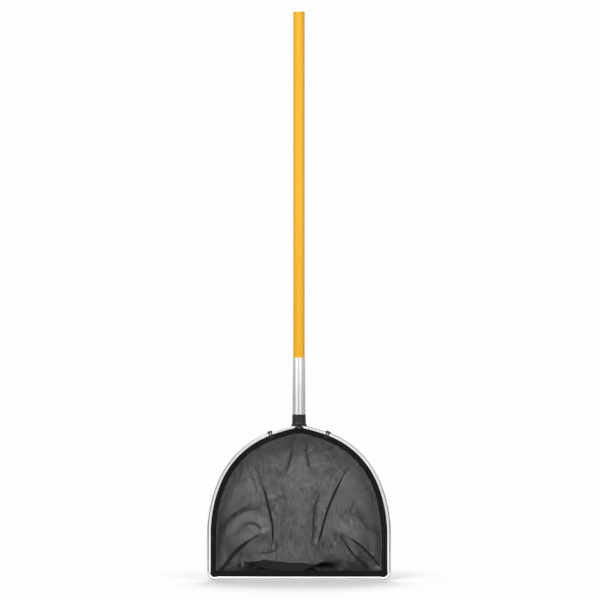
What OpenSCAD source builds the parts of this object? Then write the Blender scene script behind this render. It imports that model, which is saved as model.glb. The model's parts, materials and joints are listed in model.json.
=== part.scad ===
// Leaf skimmer net: a D-shaped tube frame with a fine mesh bag, on a long pole.
// Millimetres. The net stands on its lower bar, the mouth faces -Y and the pole points up +Z.
// The origin is the centre of the pole's butt end, which is the top of the model.

/* [Pole] */
// Outside diameter of the pole tube
pole_d = 28.6; // [22:0.1:34]
// Wall of the pole tube
pole_wall = 2.4; // [1.5:0.1:4]
// Length of pole that shows above the ferrule
pole_show = 864; // [300:1:1800]
// Length of pole that is held inside the ferrule
pole_insert = 67; // [50:1:75]
// How far that length is turned down, on its radius
pole_step = 0.3; // [0.15:0.05:0.5]
// Length of the plug in the butt end
plug_len = 22; // [10:1:40]
// Gap round the plug
plug_gap = 0.1; // [0.05:0.05:0.3]

/* [Ferrule] */
// Length of the ferrule tube
ferrule_len = 142; // [135:1:220]
// Wall of the ferrule tube
ferrule_wall = 1.7; // [1.2:0.1:2.8]
// Radial gap between the ferrule's bore and what goes into it
ferrule_gap = 0.2; // [0.1:0.05:0.4]
// Shank diameter of the blind rivet that holds the pole
pole_rivet_d = 4; // [3:0.1:5]
// Height of the rivet's head
pole_rivet_head = 1.2; // [0.8:0.1:2]
// Length of the rivet's swollen tail inside the pole
pole_rivet_tail = 2.4; // [1.5:0.1:4]
// Distance of that rivet below the ferrule's top end
pole_rivet_drop = 32; // [20:1:45]

/* [Hub] */
// Height of the hub's collar, from the skirt's edge to the ferrule's seat
collar_h = 27; // [22:0.5:40]
// How far the collar stands out past the ferrule at its top
collar_lip = 1.15; // [0.6:0.05:2.5]
// How far the skirt's edge stands out past the ferrule
skirt_flare = 4.2; // [3:0.1:7]
// Height of the flared stretch of the skirt
skirt_h = 7; // [5:0.5:10]
// Thickness of the skirt's edge
skirt_edge = 1.2; // [0.8:0.1:2]
// Height of the rim round the ferrule's seat
rim_h = 2.6; // [1.5:0.1:4]
// Depth of the groove below that rim
groove = 0.35; // [0.2:0.05:0.6]
// Length of the spigot inside the ferrule
spigot_len = 60; // [52:1:66]
// Wall of the spigot
spigot_wall = 3.3; // [2.5:0.1:4.5]
// Depth of the saddle that holds the tube ends, front to back
saddle_depth = 16; // [14:0.5:22]
// Width of the saddle's neck, just under the skirt
saddle_neck = 17.4; // [16:0.2:20]
// How far the saddle's foot spreads past its neck on each side
saddle_flare = 3; // [1:0.1:5]
// Plastic left under the tubes at the middle of the saddle
saddle_floor = 2.9; // [2:0.1:5]
// Gap between the two tube ends inside the saddle
tube_end_gap = 5; // [3:0.1:7]
// Diameter of the drain hole between the tube ends
drain_d = 1.8; // [1:0.1:2.4]
// Height of the drain hole above the saddle's underside
drain_rise = 1.8; // [1.4:0.1:3]
// Radial gap between a tube and its socket
socket_gap = 0.1; // [0.05:0.05:0.3]
// Shank diameter of the hub screws
screw_d = 2.2; // [1.8:0.1:3]
// Head diameter of the hub screws
screw_head_d = 4.4; // [3.6:0.1:5]
// Height of that head
screw_head_h = 1.4; // [0.8:0.1:2]
// How far a screw passes beyond its tube
screw_bite = 1.2; // [0.6:0.1:2]
// Distance of each hub screw from the end of its tube
screw_inset = 3.7; // [3:0.1:5]
// How far the hub screws sit below the middle of the tubes
screw_drop = 1.2; // [0.8:0.1:1.4]
// Radial gap round screws and rivets
fastener_gap = 0.2; // [0.1:0.05:0.3]

/* [Spring clip] */
// Height of the two buttons above the ferrule's seat
button_rise = 13; // [11:0.5:20]
// Diameter of a button
button_d = 6.35; // [5:0.05:8]
// Radial gap between a button and its holes
button_gap = 0.2; // [0.1:0.05:0.4]
// How far a button stands out of the ferrule
button_proud = 1; // [0.6:0.1:3]
// Diameter of the flange behind a button
flange_d = 8.4; // [7.5:0.1:10]
// Thickness of that flange
flange_t = 1; // [0.6:0.1:1.6]
// Thickness of the spring strip
strip_t = 0.8; // [0.5:0.05:1.2]
// Width of the spring strip
strip_w = 7; // [5:0.5:9]
// Height of the spring's bend above the buttons
spring_rise = 36; // [28:1:42]
// Radius of the spring's bend
spring_bend_r = 3.6; // [2:0.1:5]
// Length of the flat foot of each spring arm
foot_len = 11; // [9:0.5:14]
// Gap between parts of the clip that touch in use
touch_gap = 0.1; // [0.05:0.01:0.2]

/* [Frame] */
// Overall width of the frame
frame_w = 460; // [400:5:540]
// Width and depth of the frame tube, which is round outside and flat-sided towards the net
tube_d = 9.5; // [8:0.1:12]
// Radius of the tube's two inner corners
tube_corner = 1.2; // [0.8:0.1:2]
// Wall of the frame tube
tube_wall = 1; // [0.8:0.05:1.3]
// Width of the slot on the tube's inner side
slot_w = 2.6; // [2.2:0.1:3.2]
// Height at which the sides start to lean in
side_h = 117.5; // [60:0.5:180]
// Radius of the leaning stretch of the side, at the tube's centre
side_r = 327.5; // [250:0.5:420]
// Angle of that stretch
side_angle = 23.6; // [18:0.1:28]
// Radius of the shoulder, at the tube's centre
shoulder_r = 219.25; // [180:0.25:260]
// Angle of the shoulder
shoulder_angle = 44.65; // [40:0.05:48]
// Slope of the tubes where they enter the hub
entry_slope = 12; // [9:0.5:15]
// Half the distance between the places where the crown's curve ends
entry_x = 10.9; // [9:0.1:13]
// Radius of the lower corners, at the tube's centre
corner_r = 14.25; // [12:0.25:22]
// Straight leg of a corner elbow along the lower bar
elbow_leg = 6; // [2:0.5:15]
// Straight leg of a corner elbow up the side
elbow_rise = 0.6; // [0:0.1:8]
// Outside diameter of an elbow
elbow_d = 8.2; // [7.8:0.1:9]
// Length of each elbow stub inside a tube
stub_len = 16; // [12:0.5:22]
// Radial gap round a stub
stub_gap = 0.1; // [0.05:0.05:0.2]
// Shank diameter of the corner rivets
corner_rivet_d = 2.4; // [2:0.1:3]
// Height of a corner rivet's head
corner_rivet_head = 0.9; // [0.5:0.1:1.5]
// How far a corner rivet reaches into the elbow's stub
corner_rivet_grip = 2.4; // [1.5:0.1:3]

/* [Net] */
// Width of the hem tape
tape_w = 13; // [10:0.5:18]
// Thickness of the hem tape
tape_t = 2.4; // [1.8:0.1:3]
// Gap between cloth and what lies beside it
cloth_gap = 0.3; // [0.2:0.05:0.5]
// Diameter of the bead cord in the hem
cord_d = 4.2; // [3.4:0.1:4.6]
// Thickness of the hem's sleeve round the cord
sleeve_t = 0.7; // [0.5:0.05:0.8]
// Thickness of the mesh bag
mesh_t = 1.6; // [1.2:0.1:2.4]
// Distance from the crown's end to where the cord starts
hem_start = 4; // [3:0.5:10]
// Gap between the end of a cord and an elbow stub
hem_end_gap = 1; // [0.5:0.1:5]
// Width of tape that the bag is sewn over
seam_w = 8; // [5:0.5:9]
// Depth of the bag behind the tape
bag_depth = 118; // [60:1:260]
// Height of the bag's deepest point
bag_low = 34; // [26:1:60]
// How far the deepest point sags
bag_sag = 29; // [10:1:30]
// Half the length of the bag's keel, the fold line along its deepest part
keel_half = 105; // [20:1:150]
// Depth of the cloth's broad folds
fold_depth = 12; // [0:0.5:16]
// Half width of the broad folds
fold_half = 17; // [12:0.5:30]

/* [Net fasteners] */
// Distance of each frame clip from the pole's axis
clip_x = 72; // [50:1:120]
// Width of a frame clip
clip_w = 12; // [7:0.5:14]
// Wall of a frame clip
clip_wall = 1.6; // [1.2:0.1:2.4]
// Reach of a frame clip from the tube's outer side
clip_reach = 17; // [15:0.5:20]
// Width of a clip's waist
clip_waist = 9; // [5:0.5:11]
// Height of the window through a clip, along the tube
clip_window = 2.2; // [1:0.1:4]
// Heights of the lower hem rivets
hem_low_z = 107; // [60:1:117]
// Heights of the upper hem rivets
hem_high_z = 179; // [140:1:230]
// Shank diameter of the hem rivets
hem_rivet_d = 2; // [1.6:0.1:2.6]
// Height of a hem rivet's front head
hem_rivet_head = 1; // [0.5:0.1:1.5]
// Height of a hem rivet's back head
hem_rivet_tail = 0.8; // [0.5:0.1:1.5]

/* [Hidden] */
$fn = 96;

// Frame path: tangent arcs of the tube's centre line, for the right-hand half
tube_r = tube_d / 2;
half_w = frame_w / 2 - tube_r;
side_c = [half_w - side_r, side_h];
shoulder_top = side_angle + shoulder_angle;
shoulder_c = side_c + (side_r - shoulder_r) * [cos(side_angle), sin(side_angle)];
crown_top = 90 - entry_slope;
crown_foot = shoulder_c + shoulder_r * [cos(shoulder_top), sin(shoulder_top)];
crown_r = (crown_foot.x - entry_x) / (cos(shoulder_top) - cos(crown_top));
crown_c = crown_foot - crown_r * [cos(shoulder_top), sin(shoulder_top)];
entry_z = crown_c.y + crown_r * sin(crown_top);
peak_z = entry_z + entry_x * tan(entry_slope);
corner_z = tube_r + corner_r;
corner_x = half_w - corner_r;
seam_z = corner_z + elbow_rise;
seam_x = corner_x - elbow_leg;

// Hub heights, set by the tubes that it holds
socket_roof = 0.7;
edge_break = 0.4;
tube_drop = tube_r / cos(entry_slope);
socket_x = tube_end_gap / 2;
skirt_z = peak_z + socket_roof;
seat_z = skirt_z + collar_h;
saddle_z = peak_z - tube_drop - saddle_floor;
spigot_r = pole_d / 2 - pole_step;
bore_r = spigot_r + ferrule_gap;
ferrule_r = bore_r + ferrule_wall;
well_r = spigot_r - spigot_wall;
ferrule_top = seat_z + ferrule_len;
overall_h = ferrule_top + pole_show;
pole_foot = ferrule_top - pole_insert;
screw_x = socket_x + screw_inset;
screw_z = peak_z - screw_x * tan(entry_slope) - screw_drop;
hole_d = screw_d + 2 * fastener_gap;
screw_tip = tube_r + screw_bite;
saddle_y = saddle_depth / 2;
socket_run = 2 * ferrule_r;
skirt_r = ferrule_r + skirt_flare;
rim_r = ferrule_r + collar_lip;
collar_r = rim_r + 0.3;
lead_in = 1.5;
pole_core_r = pole_d / 2 - pole_wall;
pole_rivet_z = ferrule_top - pole_rivet_drop;
corner_rivet_root = tube_r - tube_wall - corner_rivet_grip;

// Spring clip
foot_room = 2;
button_z = seat_z + button_rise;
flange_x = sqrt(well_r * well_r - flange_d * flange_d / 4) - touch_gap;
arm_x = flange_x - flange_t - touch_gap;
button_tip = ferrule_r + button_proud;
well_z = button_z - foot_len / 2 - foot_room;

// Net
tape_out = tube_r + cloth_gap;
tape_in = tape_out + tape_w;
bag_y = tape_t / 2 + cloth_gap + mesh_t / 2;
cord_r = cord_d / 2;
hem_top = crown_top - hem_start / crown_r * 180 / PI;
hem_foot = seam_z + stub_len + hem_end_gap;
hem_side = seam_x - stub_len - hem_end_gap;
clip_gap = 0.15;
clip_lip = 3;
bag_levels = 18;
level_bias = 0.9;
bag_fall = 1.3;
bag_round = 1.5;
bag_pull = 0.7;
keel_share = 0.75;
// Broad folds: points [x, height] along each, and its share of the depth, negative where it comes forward
folds = [
    [[[-118, 300], [-82, 200], [-66, 90]], -0.8],
    [[[132, 290], [78, 190], [52, 90]], -0.8],
    [[[-66, 260], [-38, 180], [-30, 95]], 1],
    [[[70, 260], [40, 185], [26, 85]], 1],
    [[[-19, 345], [-22, 300], [-34, 255]], 0.8],
    [[[18, 345], [24, 295], [34, 255]], 0.8],
    [[[-185, 40], [-145, 82], [-90, 114]], -1],
    [[[188, 42], [160, 78], [104, 118]], -1],
    [[[-185, 125], [-141, 170], [-92, 165]], 0.7],
    [[[105, 148], [140, 154], [180, 120]], 0.7],
    [[[-120, 40], [90, 42]], -1]];
sleeve_r = cord_r + touch_gap + sleeve_t;
rivet_v = tube_r + 2.6;

// ---- Outline of the frame, moved inward by d, as a closed list of points ----
function arc_pts(c, r, a0, a1, n) = [for (i = [0:n - 1]) c + r * [cos(a0 + (a1 - a0) * i / n),
    sin(a0 + (a1 - a0) * i / n)]];
function line_pts(p, q, n) = [for (i = [0:n - 1]) p + (q - p) * i / n];
function inner_corner(d) = max(corner_r - d, 1);
function half_outline(d) = let (
        r = inner_corner(d),
        x = half_w - d,
        z = tube_r + d,
        top = peak_z - d / cos(entry_slope))
    concat(
        line_pts([0, z], [x - r, z], 12),
        arc_pts([x - r, z + r], r, -90, 0, 3),
        line_pts([x, z + r], [x, side_h], 5),
        arc_pts(side_c, side_r - d, 0, side_angle, 9),
        arc_pts(shoulder_c, shoulder_r - d, side_angle, shoulder_top, 13),
        arc_pts(crown_c, crown_r - d, shoulder_top, crown_top, 7),
        [[0, top]]);
function outline(d) = let (h = half_outline(d), n = len(h))
    concat(h, [for (i = [1:n - 2]) [-h[n - 1 - i].x, h[n - 1 - i].y]]);

// ---- Stations [x, z, angle] along the right-hand half of the frame, each with its outward angle ----
function arc_stations(c, r, a0, a1, n) = [for (i = [1:n]) let (a = a0 + (a1 - a0) * i / n)
    [c.x + r * cos(a), c.y + r * sin(a), a]];
function bow_stations(z0, top_angle) = concat(
    [[half_w, z0, 0], [half_w, side_h, 0]],
    arc_stations(side_c, side_r, 0, side_angle, 10),
    arc_stations(shoulder_c, shoulder_r, side_angle, shoulder_top, 14),
    arc_stations(crown_c, crown_r, shoulder_top, top_angle, 6));
function round_pts(r, a0, a1, n) = [for (i = [0:n]) let (a = a0 + (a1 - a0) * i / n) r * [cos(a), sin(a)]];

// A closed section [outward, sideways] carried along stations
module swept(stations, section) {
    n = len(section);
    last = len(stations) - 1;
    points = [for (s = stations) for (q = section) [s[0] + q.x * cos(s[2]), q.y, s[1] + q.x * sin(s[2])]];
    walls = [for (j = [0:last - 1]) for (i = [0:n - 1]) let (b = (i + 1) % n)
        [j * n + i, j * n + b, (j + 1) * n + b, (j + 1) * n + i]];
    foot = [for (i = [n - 1:-1:0]) i];
    head = [for (i = [0:n - 1]) last * n + i];
    polyhedron(points, concat(walls, [foot], [head]));
}

// ---- Sweeps of a 2-D profile whose own origin is the tube's centre and whose -x side faces inward ----
module arc_sweep(c, r, a0, a1) {
    translate([c.x, 0, c.y]) rotate([90, 0, 0]) rotate([0, 0, a0])
        rotate_extrude(angle = a1 - a0) translate([r, 0]) children();
}

module side_sweep(z0) {
    translate([half_w, 0, z0]) linear_extrude(side_h - z0) children();
}

module bow_sweep(z0, top_angle) {
    side_sweep(z0) children();
    arc_sweep(side_c, side_r, 0, side_angle) children();
    arc_sweep(shoulder_c, shoulder_r, side_angle, shoulder_top) children();
    arc_sweep(crown_c, crown_r, shoulder_top, top_angle) children();
}

// The tube's outline grown by a gap: -x is the flat side, which faces the net
module tube_outline(gap = 0) {
    r = tube_r + gap;
    c = tube_corner;
    circle(r);
    translate([-r, c - r]) square([r, 2 * (r - c)]);
    translate([c - r, -r]) square([r - c, 2 * r]);
    for (s = [-1, 1]) translate([c - r, s * (r - c)]) circle(c);
}

// Places a part across the tube: +x of the child points outward and z runs along the tube
module at_arc(c, r, angle) {
    translate([c.x + r * cos(angle), 0, c.y + r * sin(angle)]) rotate([0, -angle, 0]) children();
}

// Straight stretch along the lower bar, centred on the pole's axis
module bar_sweep(half_len) {
    translate([-half_len, 0, tube_r]) rotate([0, 90, 0]) linear_extrude(2 * half_len) children();
}

// A round along Y, from y0 to y1
module y_round(x, z, y0, y1, d) {
    translate([x, y0, z]) rotate([-90, 0, 0]) cylinder(d = d, h = y1 - y0);
}

module left_side() mirror([1, 0, 0]) children();

module both_sides() {
    children();
    mirror([1, 0, 0]) children();
}

// All parts are drawn standing on z = 0, and moved down so that the butt end is the origin
module stand() translate([0, 0, -overall_h]) children();

// ---- Pole and ferrule ----
module pole() {
    color("goldenrod") stand() difference() {
        rotate_extrude() polygon([[pole_core_r, pole_foot], [spigot_r, pole_foot], [spigot_r, ferrule_top],
            [pole_d / 2, ferrule_top], [pole_d / 2, overall_h], [pole_core_r, overall_h]]);
        y_round(0, pole_rivet_z, 0, pole_d, pole_rivet_d + 2 * fastener_gap);
    }
}

module pole_plug() {
    color("darkgoldenrod") stand() translate([0, 0, overall_h - plug_len])
        cylinder(r = pole_core_r - plug_gap, h = plug_len);
}

module ferrule() {
    color("silver") stand() difference() {
        translate([0, 0, seat_z]) linear_extrude(ferrule_len) difference() {
            circle(ferrule_r);
            circle(bore_r);
        }
        y_round(0, pole_rivet_z, 0, pole_d, pole_rivet_d + 2 * fastener_gap);
        button_bore();
    }
}

module pole_rivet() {
    tail_y = pole_core_r - 0.6;
    face = ferrule_r + touch_gap;
    color("gainsboro") stand() {
        y_round(0, pole_rivet_z, tail_y, face, pole_rivet_d);
        y_round(0, pole_rivet_z, face, face + pole_rivet_head, 2 * pole_rivet_d);
        y_round(0, pole_rivet_z, tail_y - pole_rivet_tail, tail_y, 1.4 * pole_rivet_d);
    }
}

// ---- Hub ----
function skirt_curve(t) = [collar_r + (skirt_r - collar_r) * (1 - t) * (1 - t),
    skirt_z + skirt_edge + (skirt_h - skirt_edge) * t];

module collar() {
    rim_z = seat_z - rim_h;
    rotate_extrude() polygon(concat(
        [[0, skirt_z], [skirt_r - edge_break, skirt_z], [skirt_r, skirt_z + edge_break]],
        [for (t = [0:0.2:1]) skirt_curve(t)],
        [[rim_r, rim_z - 3 * groove], [rim_r - groove, rim_z - 2 * groove],
            [rim_r - groove, rim_z - groove], [rim_r, rim_z],
            [rim_r, seat_z - edge_break], [rim_r - edge_break, seat_z], [spigot_r, seat_z],
            [spigot_r, seat_z + spigot_len - lead_in], [spigot_r - lead_in, seat_z + spigot_len],
            [0, seat_z + spigot_len]]));
}

module saddle() {
    half = saddle_neck / 2;
    side = [for (t = [0:0.2:1]) [half + saddle_flare * (1 - cos(90 * t)),
        skirt_z - (skirt_z - saddle_z) * t]];
    rotate([90, 0, 0]) linear_extrude(saddle_depth, center = true) polygon(concat(
        [[half, skirt_z + 4]], side,
        [for (i = [len(side) - 1:-1:0]) [-side[i].x, side[i].y]], [[-half, skirt_z + 4]]));
}

// Socket for the end of one tube, open outward
module socket() {
    depth = (entry_x - socket_x) / cos(entry_slope) + socket_gap;
    at_arc(crown_c, crown_r, crown_top) translate([0, 0, -socket_run])
        linear_extrude(socket_run + depth) tube_outline(socket_gap);
}

module button_bore() {
    translate([-2 * ferrule_r, 0, button_z]) rotate([0, 90, 0])
        cylinder(d = button_d + 2 * button_gap, h = 4 * ferrule_r);
}

module hub() {
    color("#2b2b2b") stand() difference() {
        union() {
            collar();
            saddle();
        }
        both_sides() socket();
        both_sides() y_round(screw_x, screw_z, -saddle_depth, screw_tip + fastener_gap, hole_d);
        y_round(0, saddle_z + drain_rise, -saddle_depth, saddle_depth, drain_d);
        translate([0, 0, well_z]) cylinder(r = well_r, h = spigot_len);
        button_bore();
    }
}

module hub_screws() {
    color("dimgray") stand() both_sides() {
        y_round(screw_x, screw_z, -saddle_y, screw_tip, screw_d);
        y_round(screw_x, screw_z, -saddle_y - screw_head_h, -saddle_y, screw_head_d);
    }
}

// ---- Spring clip ----
// One face of the spring strip, from one foot over the bend to the other; shift moves it inward
function strip_face(shift) = let (
        foot_z = button_z - foot_len / 2,
        knee_z = button_z + foot_len / 2,
        x = arm_x - shift)
    concat([[x, foot_z], [x, knee_z]],
        arc_pts([0, button_z + spring_rise], spring_bend_r - shift, 0, 180, 12),
        [[shift - spring_bend_r, button_z + spring_rise], [-x, knee_z], [-x, foot_z]]);

module clip_spring() {
    inside = strip_face(strip_t);
    color("lightsteelblue") stand() rotate([90, 0, 0]) linear_extrude(strip_w, center = true)
        polygon(concat(strip_face(0), [for (i = [len(inside) - 1:-1:0]) inside[i]]));
}

module button() {
    dome_r = 0.8 * button_d;
    translate([0, 0, button_z]) rotate([0, 90, 0]) {
        translate([0, 0, flange_x - flange_t]) cylinder(d = flange_d, h = flange_t);
        intersection() {
            translate([0, 0, flange_x - flange_t]) cylinder(d = button_d, h = button_tip);
            translate([0, 0, button_tip - dome_r]) sphere(dome_r);
        }
        translate([0, 0, flange_x - flange_t]) cylinder(d = button_d, h = ferrule_r - flange_x);
    }
}

module left_button() {
    color("gainsboro") stand() left_side() button();
}

module right_button() {
    color("gainsboro") stand() button();
}

// ---- Frame ----
module tube_section() {
    difference() {
        tube_outline();
        circle(tube_r - tube_wall);
        translate([-tube_d, -slot_w / 2]) square([tube_d, slot_w]);
    }
}

// The tube's wall as one closed line: round the outside and back along the bore
function inner_corner_pts(s) = [for (p = round_pts(tube_corner, s > 0 ? 90 : 180, s > 0 ? 180 : 270, 3))
    p + [tube_corner - tube_r, s * (tube_r - tube_corner)]];
function slotted_section() = let (
        bore = tube_r - tube_wall,
        lip = 180 - asin(slot_w / 2 / bore))
    concat(round_pts(tube_r, -90, 90, 14), inner_corner_pts(1), [[-tube_r, slot_w / 2]],
        round_pts(bore, lip, -lip, 20), [[-tube_r, -slot_w / 2]], inner_corner_pts(-1));

module bow() {
    hub_end = [socket_x, peak_z - socket_x * tan(entry_slope), crown_top];
    difference() {
        swept(concat(bow_stations(seam_z, crown_top), [hub_end]), slotted_section());
        y_round(screw_x, screw_z, -tube_d, tube_d, hole_d);
        y_round(half_w, seam_z + stub_len / 2, 0, tube_d, corner_rivet_d + 2 * fastener_gap);
    }
}

module bow_left() {
    color("whitesmoke") stand() left_side() bow();
}

module bow_right() {
    color("whitesmoke") stand() bow();
}

module lower_bar() {
    color("whitesmoke") stand() difference() {
        bar_sweep(seam_x) tube_section();
        both_sides() y_round(seam_x - stub_len / 2, tube_r, 0, tube_d, corner_rivet_d + 2 * fastener_gap);
    }
}

module corner() {
    stub_r = tube_r - tube_wall - stub_gap;
    difference() {
        union() {
            arc_sweep([corner_x, corner_z], corner_r, -90, 0) circle(d = elbow_d);
            translate([seam_x, 0, tube_r]) rotate([0, 90, 0]) cylinder(d = elbow_d, h = elbow_leg);
            translate([half_w, 0, corner_z]) cylinder(d = elbow_d, h = elbow_rise);
            translate([seam_x - stub_len, 0, tube_r]) rotate([0, 90, 0]) cylinder(r = stub_r, h = stub_len);
            translate([half_w, 0, seam_z]) cylinder(r = stub_r, h = stub_len);
        }
        corner_rivet_spots()
            y_round(0, 0, corner_rivet_root - fastener_gap, tube_d, corner_rivet_d + 2 * fastener_gap);
    }
}

module corner_rivet_spots() {
    translate([half_w, 0, seam_z + stub_len / 2]) children();
    translate([seam_x - stub_len / 2, 0, tube_r]) children();
}

module corner_left() {
    color("silver") stand() left_side() corner();
}

module corner_right() {
    color("silver") stand() corner();
}

module corner_rivets() {
    face = tube_r + touch_gap;
    color("gainsboro") stand() both_sides() corner_rivet_spots() {
        y_round(0, 0, corner_rivet_root, face, corner_rivet_d);
        y_round(0, 0, face, face + corner_rivet_head, 1.9 * corner_rivet_d);
    }
}

// ---- Hem ----
module bead_cord() {
    swept(bow_stations(hem_foot, hem_top), round_pts(cord_r, 0, 345, 15));
}

module bead_cord_left() {
    color("#1c1c1c") stand() left_side() bead_cord();
}

module bead_cord_right() {
    color("#1c1c1c") stand() bead_cord();
}

module bead_cord_bottom() {
    color("#1c1c1c") stand() bar_sweep(hem_side) circle(cord_r);
}

// Sleeve round the cord, with the neck that runs out through the tube's slot
module sleeve_section() {
    neck_t = slot_w - 2 * cloth_gap;
    difference() {
        union() {
            circle(sleeve_r);
            translate([-tape_out - 1, -neck_t / 2]) square([tape_out + 1, neck_t]);
        }
        circle(cord_r + touch_gap);
    }
}

module hem_rivet_spots() {
    lean = asin((hem_high_z - side_h) / (side_r - rivet_v));
    translate([half_w - rivet_v, 0, hem_low_z]) children();
    translate([side_c.x + (side_r - rivet_v) * cos(lean), 0, hem_high_z]) children();
}

module hem_tape() {
    saddle_half = saddle_neck / 2 + saddle_flare + cloth_gap;
    color("#151515") stand() difference() {
        union() {
            rotate([90, 0, 0]) linear_extrude(tape_t, center = true) difference() {
                polygon(outline(tape_out));
                polygon(outline(tape_in));
                translate([-saddle_half, saddle_z - cloth_gap]) square([2 * saddle_half, tape_w]);
            }
            both_sides() bow_sweep(hem_foot, hem_top) sleeve_section();
            bar_sweep(hem_side) sleeve_section();
        }
        both_sides() hem_rivet_spots() y_round(0, 0, -tape_t, tape_t, hem_rivet_d + 2 * fastener_gap);
    }
}

module hem_rivets() {
    face = tape_t / 2 + touch_gap;
    color("black") stand() both_sides() hem_rivet_spots() {
        y_round(0, 0, -face, face, hem_rivet_d);
        y_round(0, 0, -face - hem_rivet_head, -face, 2.2 * hem_rivet_d);
        y_round(0, 0, face, face + hem_rivet_tail, 1.8 * hem_rivet_d);
    }
}

// ---- Frame clips ----
module frame_clip() {
    on_crown = clip_x <= crown_foot.x;
    c = on_crown ? crown_c : shoulder_c;
    r = on_crown ? crown_r : shoulder_r;
    front = tape_t / 2 + cloth_gap;
    back = bag_y + mesh_t / 2 + cloth_gap;
    inner = clip_reach - tube_r;
    hold_r = tube_r + clip_gap;
    jaw = clip_gap + clip_wall;
    at_arc(c, r, acos((clip_x - c.x) / r)) difference() {
        union() {
            linear_extrude(clip_w, center = true) tube_outline(jaw);
            translate([-inner, -front - clip_wall, -clip_w / 2])
                cube([inner, front + back + 2 * clip_wall, clip_w]);
        }
        linear_extrude(2 * clip_w, center = true) tube_outline(clip_gap);
        translate([-2 * inner, -front, -clip_w]) cube([2 * inner, front + back, 2 * clip_w]);
        for (s = [-1, 1]) translate([-inner + clip_lip, -tube_d, s * (clip_waist + clip_w) / 2 - clip_w / 2])
            cube([inner - clip_wall, 2 * tube_d, clip_w]);
        translate([1 - hold_r, -2 * tube_d, -clip_window / 2]) cube([hold_r, 2 * tube_d, clip_window]);
    }
}

module frame_clip_left() {
    color("#222222") stand() left_side() frame_clip();
}

module frame_clip_right() {
    color("#222222") stand() frame_clip();
}

// ---- Mesh bag: an open shell whose mouth is the frame ----
// Distance from p to the line from a to b, and to a run of lines
function line_gap(p, a, b) = let (t = max(0, min(1, (p - a) * (b - a) / ((b - a) * (b - a)))))
    norm(p - a - t * (b - a));
function run_gap(p, run) = min([for (i = [0:len(run) - 2]) line_gap(p, run[i], run[i + 1])]);
// How far the broad folds push the cloth back at a place seen from the front
function fold_push(p) = fold_depth * sum([for (f = folds) f[1] * exp(-pow(run_gap(p, f[0]) / fold_half, 2))]);
function sum(v) = v * [for (i = v) 1];
function bag_level(j) = let (
        k = j == 0 ? 1 : 1 - pow((j - 1) / bag_levels, level_bias),
        deep = pow(1 - pow(k, bag_fall), bag_round),
        ring = outline(j == 0 ? tape_in - seam_w : tape_in + 1))
    [for (p = ring) let (
            keel = max(-keel_half, min(keel_half, keel_share * p.x)),
            x = keel + k * (p.x - keel),
            z = bag_low + k * (p.y - bag_low) - bag_sag * pow(deep, bag_pull),
            under = p.y < bag_low && abs(p.x) < half_w - corner_r - tape_in,
            hold = min(1, 5 * (1 - k)) * (under ? max(0, 1 - 3 * k) : 1))
        [x, bag_y + bag_depth * deep + hold * fold_push([x, z]), z]];
function unit(v) = v / norm(v);
function bag_normal(g, j, i) = let (n = len(g[0]), last = len(g) - 1)
    unit(cross(g[j][(i + 1) % n] - g[j][(i + n - 1) % n], g[min(j + 1, last)][i] - g[max(j - 1, 0)][i]));

module net_bag() {
    grid = [for (j = [0:bag_levels]) bag_level(j)];
    tip = [0, bag_y + bag_depth, bag_low - bag_sag];
    n = len(grid[0]);
    m = n * (bag_levels + 1);
    shell = [for (s = [0.5, -0.5]) for (j = [0:bag_levels]) for (i = [0:n - 1])
        grid[j][i] + s * mesh_t * bag_normal(grid, j, i)];
    tips = [tip - [0, mesh_t / 2, 0], tip + [0, mesh_t / 2, 0]];
    walls = [for (j = [0:bag_levels - 1]) for (i = [0:n - 1]) let (a = j * n + i, b = j * n + (i + 1) % n)
        each [[a, a + n, b], [b, a + n, b + n], [m + a, m + b, m + a + n], [m + b, m + b + n, m + a + n]]];
    rim = [for (i = [0:n - 1]) let (b = (i + 1) % n) each [[i, b, m + i], [b, m + b, m + i]]];
    end = m - n;
    caps = [for (i = [0:n - 1]) let (b = (i + 1) % n)
        each [[end + i, 2 * m, end + b], [m + end + i, m + end + b, 2 * m + 1]]];
    color("#3a3a3a") stand() polyhedron(concat(shell, tips), concat(walls, rim, caps));
}

pole();
pole_plug();
ferrule();
pole_rivet();
hub();
hub_screws();
clip_spring();
left_button();
right_button();
bow_left();
bow_right();
lower_bar();
corner_left();
corner_right();
corner_rivets();
bead_cord_left();
bead_cord_right();
bead_cord_bottom();
hem_tape();
net_bag();
frame_clip_left();
frame_clip_right();
hem_rivets();
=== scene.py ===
"""Leaf skimmer net, dressed in Blender.

A fine mesh bag is sewn to a slotted tube frame, on a hub, a ferrule and a pole. Metres, in the frame of the
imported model: the net stands on its lower bar, the mouth faces -Y and the pole points up. Each operator makes
one piece or one group of like pieces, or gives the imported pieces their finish.
"""

import json
import math

import bmesh
import bpy
import numpy as np
from bpy.props import FloatProperty, FloatVectorProperty, IntProperty, PointerProperty
from mathutils import Matrix, Vector, noise

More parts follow.
